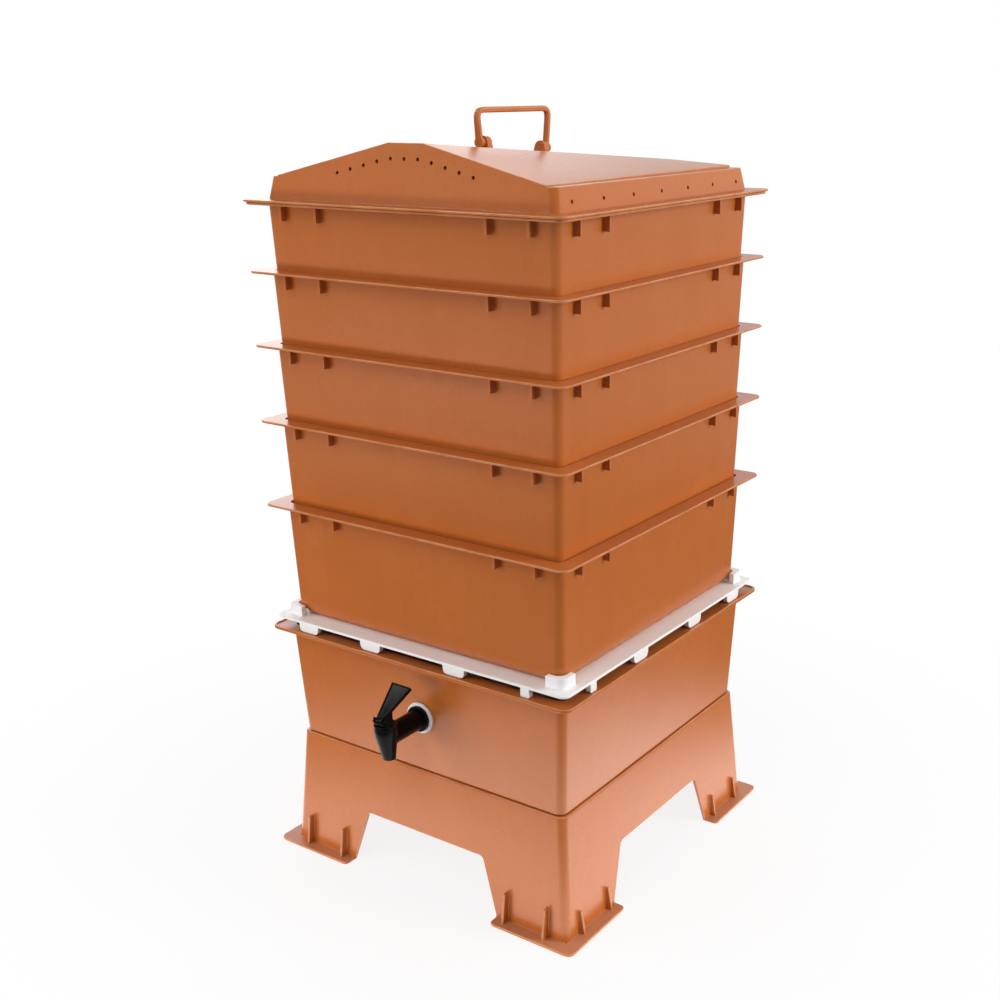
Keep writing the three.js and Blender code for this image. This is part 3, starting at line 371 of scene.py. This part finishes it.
def drawn_wire():
    """Bright spring wire with a fine grain."""
    material = bpy.data.materials.new("spring_steel")
    material.use_nodes = True
    tree = material.node_tree
    surface = tree.nodes["Principled BSDF"]
    skin_node = place_group(tree, SKIN, Grain_Scale=5200.0, Cloud_Scale=260.0, Grain_Depth=0.4)
    colour = blend_colours(tree, skin_node.outputs["Cloud"], WIRE_DARK, WIRE_BRIGHT)
    tree.links.new(colour, surface.inputs["Base Color"])
    rough = spread(tree, skin_node.outputs["Speckle"], 0.0, 1.0, *WIRE_ROUGHNESS)
    tree.links.new(rough, surface.inputs["Roughness"])
    surface.inputs["Metallic"].default_value = 1.0
    relief = tree.nodes.new("ShaderNodeBump")
    relief.inputs["Distance"].default_value = WIRE_RELIEF
    tree.links.new(skin_node.outputs["Height"], relief.inputs["Height"])
    tree.links.new(relief.outputs["Normal"], surface.inputs["Normal"])
    return material


STEEL = drawn_wire()

FINISHES = {
    "terracotta_plastic": TERRACOTTA,
    "white_plastic": WHITE,
    "black_plastic": BLACK,
    "grey_rubber": RUBBER,
    "spring_steel": STEEL,
}

# Mouldings: each solid gets rounded edges and smooth corners

# Rounding of each solid's edges, in mm
EDGE_ROUNDING = {
    "stand": 0.8, "collector": 0.6, "spacer_frame": 0.6, "lid": 0.6, "handle": 0.6,
    "tray_1": 0.55, "tray_2": 0.55, "tray_3": 0.55, "tray_4": 0.55, "tray_5": 0.55,
    "tap_body": 0.45, "tap_bonnet": 0.35, "tap_lever": 0.4, "tap_lever_pin": 0.2, "tap_stem": 0.25,
    "tap_seal": 0.3, "tap_nut": 0.5, "tap_outer_washer": 0.5, "tap_inner_washer": 0.4,
}
FLANGED = ("tray_1", "tray_2", "tray_3", "tray_4", "tray_5", "lid")
FLANGE_ROUNDING = 0.95         # in mm
FLANGE_CORNER = 10 * MM
FLANGE_TOLERANCE = 0.1 * MM
BEVEL_SEGMENTS = 2
MERGE_DISTANCE = 0.002 * MM
FLAT_ANGLE = math.radians(0.6)
EDGE_ANGLE = math.radians(35)
SMOOTH_ANGLE = math.radians(40)
FOLD_ANGLE = math.radians(4)
SHORTEST_ROUNDED = 1.75 * MM   # the sides of vents and small bores stay crisp
LONGEST_STRAY = 0.8 * MM       # a rounded corner leaves the solid by no more
OVERLAP = 1.0001               # area of a face's triangles over its own, from which they overlap
FILL_PRECISION = 1e-7          # metres under which the refill takes two points as one
MOST_SAFE_CORNERS = 4          # Blender splits faces with so few corners without overlaps
ROOF_UPWARD = 0.95             # least upward part of a roof face's normal
ROOF_TILT = 0.03               # least sideways part of a slope's normal
ROOF_STRIP_LENGTH = 50 * MM
ROOF_STRIP_WIDTH = 34 * MM
ROOF_CUTS = 9

lid_low, lid_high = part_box("lid")
TOWER_Y = (lid_low.y + lid_high.y) / 2

slot_of = {part["node"]: part["material_slot"] for part in frame["record"]["subparts"]}
body_of = {
    node: body
    for body, nodes in frame["record"]["behaviour"]["bodies"].items()
    for node in nodes
}


def link(name, mesh):
    piece = bpy.data.objects.new(name, mesh)
    scene.collection.objects.link(piece)
    return piece


def carry(piece, node, slot=None):
    """The piece takes the body and finish of a CAD node."""
    slot_name = slot or slot_of[node]
    piece.data.materials.clear()
    piece.data.materials.append(FINISHES[slot_name])
    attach(piece, body_of[node])
    return piece


def on_rim(edge, half, radius):
    """Whether an edge lies on the outline of a square flange about the tower's axis."""
    for vert in edge.verts:
        across = [abs(vert.co.x) - (half - radius), abs(vert.co.y - TOWER_Y) - (half - radius)]
        reach = math.hypot(*across) if min(across) > 0 else max(across)
        if abs(reach - radius) > FLANGE_TOLERANCE:
            return False
    return True


def stands_out(face):
    """Whether a narrow face rounds a ridge, and not a crease."""
    turns = [
        edge.calc_face_angle_signed(0) * edge.calc_length()
        for edge in face.edges if edge.is_manifold
    ]
    return sum(turns) > 0


def refill(bm, face):
    """Fill the outline of a flat, many-sided face with triangles that don't overlap."""
    lay_flat = face.normal.rotation_difference(UP).to_matrix()
    corners = list(face.verts)
    outline = [lay_flat @ vert.co for vert in corners]
    level = outline[0].z
    inside_only = 1
    points, _, triangles, sources, _, _ = delaunay_2d_cdt(
        [point.xy for point in outline], [], [list(range(len(corners)))], inside_only, FILL_PRECISION,
    )
    stand_up = lay_flat.transposed()
    verts = [
        corners[source[0]] if source else bm.verts.new(stand_up @ Vector((*point, level)))
        for point, source in zip(points, sources)
    ]
    bmesh.ops.delete(bm, geom=[face], context="FACES_ONLY")
    for triangle in triangles:
        trio = [verts[place] for place in triangle]
        if len(set(trio)) == 3 and bm.faces.get(trio) is None:
            bm.faces.new(trio)


def refill_overlaps(bm):
    """Refill each face that Blender's own split into triangles would overlap."""
    covered = {}
    for loops in bm.calc_loop_triangles():
        first, second, third = (loop.vert.co for loop in loops)
        area = (second - first).cross(third - first).length / 2
        covered[loops[0].face] = covered.get(loops[0].face, 0) + area
    for face, area in covered.items():
        if len(face.verts) > MOST_SAFE_CORNERS and area > face.calc_area() * OVERLAP:
            refill(bm, face)
    bm.normal_update()


def run_of(edge):
    """How far an edge runs along X and Y."""
    step = edge.verts[1].co - edge.verts[0].co
    return abs(step.x), abs(step.y)


def on_slope(face):
    """Whether a face belongs to the slopes of the roof."""
    return face.normal.z > ROOF_UPWARD and abs(face.normal.x) > ROOF_TILT


def smooth_roof(bm):
    """Cut the twisted strips of the roof across, so that the two triangles of a strip don't show."""
    long_edges = [
        edge for edge in bm.edges
        if edge.is_manifold and run_of(edge)[0] > ROOF_STRIP_LENGTH
        and all(map(on_slope, edge.link_faces))
    ]
    diagonals = [edge for edge in long_edges if run_of(edge)[1] > ROOF_STRIP_WIDTH / 2]
    bmesh.ops.dissolve_edges(bm, edges=diagonals, use_verts=False)
    rulings = [
        edge for edge in bm.edges
        if run_of(edge)[0] > ROOF_STRIP_LENGTH and any(map(on_slope, edge.link_faces))
    ]
    bmesh.ops.subdivide_edges(bm, edges=rulings, cuts=ROOF_CUTS, use_grid_fill=True)
    bm.normal_update()


def sharp_edges(bm):
    return [
        edge for edge in bm.edges
        if edge.is_manifold and edge.calc_face_angle() > EDGE_ANGLE
        and edge.calc_length() > SHORTEST_ROUNDED
    ]


def round_edges(bm, edges, offset, marks):
    """Round some edges, and mark the narrow faces on ridges."""
    made = bmesh.ops.bevel(
        bm, geom=[edge for edge in edges if edge.is_valid], offset=offset, offset_type="OFFSET",
        segments=BEVEL_SEGMENTS, profile=0.5, affect="EDGES", clamp_overlap=False, miter_outer="ARC",
    )
    bm.normal_update()
    for face in made["faces"]:
        face[marks] = 1.0 if stands_out(face) else 0.0


def call_back_strays(bm, solid):
    """Vertices that the rounding threw off the solid go back onto it."""
    for vert in bm.verts:
        nearest, _, _, away = solid.find_nearest(vert.co)
        if away > LONGEST_STRAY:
            vert.co = nearest
    bm.normal_update()


def find_folds(bm):
    """Edges between faces that look up at slightly different angles, as on the roof."""
    bm.edges.index_update()
    return [
        edge.index for edge in bm.edges
        if edge.is_manifold and edge.calc_face_angle() > FOLD_ANGLE
        and min(face.normal.z for face in edge.link_faces) > ROOF_UPWARD
    ]


def weigh_normals(name, mesh):
    """A copy of a mesh whose large faces keep their own normals."""
    draft = link("draft", mesh)
    weighted = draft.modifiers.new("weighted", "WEIGHTED_NORMAL")
    weighted.keep_sharp = True
    depsgraph = bpy.context.evaluated_depsgraph_get()
    finished = bpy.data.meshes.new_from_object(draft.evaluated_get(depsgraph))
    bpy.data.objects.remove(draft)
    finished.name = name
    return finished


def soften(node, rounding):
    """A copy of a CAD solid with its sharp edges rounded, and the rounded ridges marked."""
    bm = bmesh.new()
    bm.from_mesh(frame["nodes"][node].data)
    marks = bm.faces.layers.float.new("rounded_edge")
    bmesh.ops.remove_doubles(bm, verts=bm.verts, dist=MERGE_DISTANCE)
    bmesh.ops.dissolve_limit(bm, angle_limit=FLAT_ANGLE, verts=bm.verts, edges=bm.edges)
    solid = BVHTree.FromBMesh(bm)
    sharp = sharp_edges(bm)
    low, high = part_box(node)
    half = (high.x - low.x) / 2
    rim = [edge for edge in sharp if node in FLANGED and on_rim(edge, half, FLANGE_CORNER)]
    rest = [edge for edge in sharp if edge not in set(rim)]
    round_edges(bm, rim, FLANGE_ROUNDING * MM, marks)
    round_edges(bm, rest, rounding * MM, marks)
    call_back_strays(bm, solid)
    refill_overlaps(bm)
    if node == "lid":
        smooth_roof(bm)
    folds = find_folds(bm)
    name = node + "_moulding"
    mesh = bpy.data.meshes.new(name)
    bm.to_mesh(mesh)
    bm.free()
    mesh.shade_smooth()
    mesh.set_sharp_from_angle(angle=SMOOTH_ANGLE)
    for index in folds:
        mesh.edges[index].use_edge_sharp = True
    carry(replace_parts(link(name, weigh_normals(name, mesh)), node), node)


for node, rounding in EDGE_ROUNDING.items():
    soften(node, rounding)

# Wound and threaded detail


def geometry_tree(name, inputs):
    tree = bpy.data.node_groups.new(name, "GeometryNodeTree")
    for label, kind, value in inputs:
        socket = tree.interface.new_socket(label, in_out="INPUT", socket_type=kind)
        if value is not None:
            socket.default_value = value
    tree.interface.new_socket("Geometry", in_out="OUTPUT", socket_type="NodeSocketGeometry")
    return tree, tree.nodes.new("NodeGroupInput"), tree.nodes.new("NodeGroupOutput")


def helix_tree():
    """A helix of wire or thread about Z, from its bottom up, in a given material."""
    tree, given, result = geometry_tree("helix", [
        ("Turns", "NodeSocketFloat", 6.0), ("Radius", "NodeSocketFloat", 0.005),
        ("Rise", "NodeSocketFloat", 0.012), ("Section", "NodeSocketFloat", 0.0005),
        ("Section Sides", "NodeSocketInt", 10), ("Steps", "NodeSocketInt", 32),
        ("Place", "NodeSocketVector", None), ("Turn", "NodeSocketVector", None),
        ("Material", "NodeSocketMaterial", None),
    ])
    nodes, links = tree.nodes, tree.links
    line = nodes.new("GeometryNodeCurveSpiral")
    links.new(given.outputs["Steps"], line.inputs["Resolution"])
    links.new(given.outputs["Turns"], line.inputs["Rotations"])
    links.new(given.outputs["Radius"], line.inputs["Start Radius"])
    links.new(given.outputs["Radius"], line.inputs["End Radius"])
    links.new(given.outputs["Rise"], line.inputs["Height"])
    section = nodes.new("GeometryNodeCurvePrimitiveCircle")
    links.new(given.outputs["Section Sides"], section.inputs["Resolution"])
    links.new(given.outputs["Section"], section.inputs["Radius"])
    wire = nodes.new("GeometryNodeCurveToMesh")
    wire.inputs["Fill Caps"].default_value = True
    links.new(line.outputs["Curve"], wire.inputs["Curve"])
    links.new(section.outputs["Curve"], wire.inputs["Profile Curve"])
    move = nodes.new("GeometryNodeTransform")
    links.new(wire.outputs["Mesh"], move.inputs["Geometry"])
    links.new(given.outputs["Place"], move.inputs["Translation"])
    links.new(given.outputs["Turn"], move.inputs["Rotation"])
    whole = nodes.new("GeometryNodeRealizeInstances")
    links.new(move.outputs["Geometry"], whole.inputs["Geometry"])
    finish = nodes.new("GeometryNodeSetMaterial")
    links.new(whole.outputs["Geometry"], finish.inputs["Geometry"])
    links.new(given.outputs["Material"], finish.inputs["Material"])
    links.new(finish.outputs["Geometry"], result.inputs["Geometry"])
    return tree


def grow(name, tree, values):
    """Run a geometry tree with the named values and keep the result as a plain mesh."""
    seedling = link(name + "_seedling", bpy.data.meshes.new(name + "_seedling"))
    modifier = seedling.modifiers.new("grow", "NODES")
    modifier.node_group = tree
    for item in tree.interface.items_tree:
        if item.item_type == "SOCKET" and item.in_out == "INPUT" and item.name in values:
            modifier[item.identifier] = values[item.name]
    depsgraph = bpy.context.evaluated_depsgraph_get()
    mesh = bpy.data.meshes.new_from_object(seedling.evaluated_get(depsgraph))
    seedling.modifiers.clear()
    bpy.data.objects.remove(seedling)
    mesh.name = name
    mesh.shade_smooth()
    return link(name, mesh)


HELIX = helix_tree()

SPRING_TURNS = 6.0
WIRE_RADIUS = 0.55 * MM
TAIL_RADIUS = 10.3 * MM
THREAD_PITCH = 1.5 * MM
THREAD_SECTION = 0.5 * MM
THREAD_SIDES = 4
THREAD_PAST_NUT = 0.4 * MM
THREAD_TO_END = 0.6 * MM

spring_low, spring_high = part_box("tap_spring")
spring_middle = (spring_low + spring_high) / 2
spring = grow("tap_spring_coil", HELIX, {
    "Turns": SPRING_TURNS,
    "Radius": (spring_high.x - spring_low.x) / 2 - WIRE_RADIUS,
    "Rise": spring_high.z - spring_low.z - 2 * WIRE_RADIUS,
    "Section": WIRE_RADIUS,
    "Place": (spring_middle.x, spring_middle.y, spring_low.z + WIRE_RADIUS),
    "Material": STEEL,
})
carry(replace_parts(spring, "tap_spring"), "tap_spring")
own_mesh(spring)

_, body_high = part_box("tap_body")
nut_low, nut_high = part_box("tap_nut")
tail_axis = (nut_low.z + nut_high.z) / 2
thread_from = nut_high.y + THREAD_PAST_NUT
thread_to = body_high.y - THREAD_TO_END
thread = grow("tap_tail_thread", HELIX, {
    "Turns": (thread_to - thread_from) / THREAD_PITCH,
    "Radius": TAIL_RADIUS,
    "Rise": thread_to - thread_from,
    "Section": THREAD_SECTION,
    "Section Sides": THREAD_SIDES,
    "Place": (0.0, thread_to, tail_axis),
    "Turn": (math.pi / 2, 0.0, 0.0),
    "Material": BLACK,
})
carry(thread, "tap_body")

# Studio

BACKDROP = (1.0, 1.0, 1.0)

# The floor's stretches are in metres from the middle
FLOOR_RADIUS = 9.0
FLOOR_SIDES = 96
FLOOR_ROUGHNESS = 0.75
FLOOR_SPECULAR = 0.2
FLOOR_NEAR = (0.93, 0.93, 0.93)
FLOOR_FAR = (0.12, 0.12, 0.12)
FLOOR_SWEEP = (0.25, 0.7)      # stretch over which the near colour and its glow end
FLOOR_GLOW = 0.25              # the floor round the object glows a little
FLOOR_SHEEN = 1.3              # and looks brighter still where the lowest walls mirror it
FLOOR_SHEEN_SWEEP = (0.3, 0.6)
FLOOR_FAR_GLOW = 0.3           # the distant floor glows as well, past this stretch
FLOOR_COVE = (1.4, 1.9)
FLOOR_SEEN_GLOW = 0.85         # share of plain backdrop in the floor that the camera sees
FLOOR_FADE = (0.2, 0.9)        # stretch over which that share grows to the whole

# A side of the surround is lit over a span of the cosine of the angle to its direction
SURROUND_DIM = 0.24
SURROUND_BACK = (0.2, 1.0, 0.0)
SURROUND_BACK_SPAN = (0.0, 0.6)
SURROUND_BACK_LIGHT = 0.6
SURROUND_PATCH = (-0.77, 0.59, 0.33)
SURROUND_PATCH_SPAN = (0.9, 1.0)
SURROUND_PATCH_LIGHT = 2.0

# Name, place, target, size, watts, and whether glossy faces mirror it
LAMPS = (
    ("softbox_right", (2.7, 0.9, 1.1), (0, 0, 0.45), (1.2, 1.4), 56, False),
    ("softbox_left", (-1.7, -2.1, 1.45), (0, 0, 0.35), (1.2, 1.2), 17, False),
    ("low_fill", (-0.8, -1.4, 0.15), (0, 0, 0.15), (1.0, 0.25), 8.5, False),
    ("rim_light", (-1.3, -0.65, 2.35), (0, 0, 0.45), (0.5, 0.5), 5, True),
    ("top_soft", (0.3, -1.6, 2.2), (0, 0, 0.35), (1.2, 1.2), 14, False),
)


def mix_shaders(tree, share, first, second):
    node = tree.nodes.new("ShaderNodeMixShader")
    for socket, value in zip(node.inputs, (share, first, second)):
        tree.links.new(value, socket)
    return node.outputs[0]


def floor_finish():
    """Pale floor that lights the object from below, and turns into the backdrop for the camera."""
    material = bpy.data.materials.new("studio_floor")
    material.use_nodes = True
    tree = material.node_tree
    surface = tree.nodes["Principled BSDF"]
    surface.inputs["Roughness"].default_value = FLOOR_ROUGHNESS
    surface.inputs["Specular IOR Level"].default_value = FLOOR_SPECULAR
    away = tree.nodes.new("ShaderNodeVectorMath")
    away.operation = "LENGTH"
    tree.links.new(tree.nodes.new("ShaderNodeTexCoord").outputs["Object"], away.inputs[0])
    distance = away.outputs["Value"]
    sweep = spread(tree, distance, *FLOOR_SWEEP)
    colour = blend_colours(tree, sweep, FLOOR_NEAR, FLOOR_FAR)
    tree.links.new(colour, surface.inputs["Base Color"])
    surface.inputs["Emission Color"].default_value = (1, 1, 1, 1)
    path = tree.nodes.new("ShaderNodeLightPath")
    near_glow = spread(tree, sweep, 0.0, 1.0, FLOOR_GLOW, 0.0)
    near_sheen = spread(tree, distance, *FLOOR_SHEEN_SWEEP, FLOOR_SHEEN, 0.0)
    mirrored = arithmetic(tree, "MULTIPLY", path.outputs["Is Glossy Ray"], near_sheen)
    far_glow = spread(tree, distance, *FLOOR_COVE, 0.0, FLOOR_FAR_GLOW)
    glows = arithmetic(tree, "ADD", near_glow, far_glow)
    tree.links.new(arithmetic(tree, "ADD", glows, mirrored), surface.inputs["Emission Strength"])
    lit = tree.nodes.new("ShaderNodeBsdfDiffuse")
    lit.inputs["Color"].default_value = (*FLOOR_NEAR, 1)
    glow = tree.nodes.new("ShaderNodeEmission")
    glow.inputs["Color"].default_value = (*BACKDROP, 1)
    plain = spread(tree, distance, *FLOOR_FADE, FLOOR_SEEN_GLOW, 1.0)
    seen = mix_shaders(tree, plain, lit.outputs[0], glow.outputs[0])
    whole = mix_shaders(tree, path.outputs["Is Camera Ray"], surface.outputs[0], seen)
    tree.links.new(whole, tree.nodes["Material Output"].inputs["Surface"])
    return material


def make_floor():
    bm = bmesh.new()
    bmesh.ops.create_circle(bm, cap_ends=True, segments=FLOOR_SIDES, radius=FLOOR_RADIUS)
    mesh = bpy.data.meshes.new("studio_floor")
    bm.to_mesh(mesh)
    bm.free()
    mesh.materials.append(floor_finish())
    link("studio_floor", mesh)


def make_world():
    """White surround: dim before the object, bright behind it, brightest at the back left."""
    world = bpy.data.worlds.new("studio")
    scene.world = world
    world.use_nodes = True
    tree = world.node_tree
    background = tree.nodes["Background"]
    place = tree.nodes.new("ShaderNodeTexCoord").outputs["Generated"]

    def towards(direction, span, brightness):
        side = tree.nodes.new("ShaderNodeVectorMath")
        side.operation = "DOT_PRODUCT"
        side.inputs[1].default_value = Vector(direction).normalized()
        tree.links.new(place, side.inputs[0])
        return spread(tree, side.outputs["Value"], *span, 0.0, brightness)

    wall = towards(SURROUND_BACK, SURROUND_BACK_SPAN, SURROUND_BACK_LIGHT)
    patch = towards(SURROUND_PATCH, SURROUND_PATCH_SPAN, SURROUND_PATCH_LIGHT)
    light = arithmetic(tree, "ADD", arithmetic(tree, "ADD", wall, patch), SURROUND_DIM)
    path = tree.nodes.new("ShaderNodeLightPath")
    colour = blend_colours(tree, path.outputs["Is Camera Ray"], light, BACKDROP)
    tree.links.new(colour, background.inputs["Color"])


def make_lamp(name, place, target, size, power, mirrored):
    data = bpy.data.lights.new(name, "AREA")
    data.shape = "RECTANGLE"
    data.size, data.size_y = size
    data.energy = power
    lamp = bpy.data.objects.new(name, data)
    lamp.location = place
    aim = Vector(target) - Vector(place)
    lamp.rotation_euler = aim.to_track_quat("-Z", "Y").to_euler()
    lamp.visible_glossy = mirrored
    scene.collection.objects.link(lamp)


make_floor()
make_world()
for lamp in LAMPS:
    make_lamp(*lamp)

scene.view_settings.view_transform = "Standard"
scene.view_settings.look = "None"
scene.view_settings.exposure = 0.0
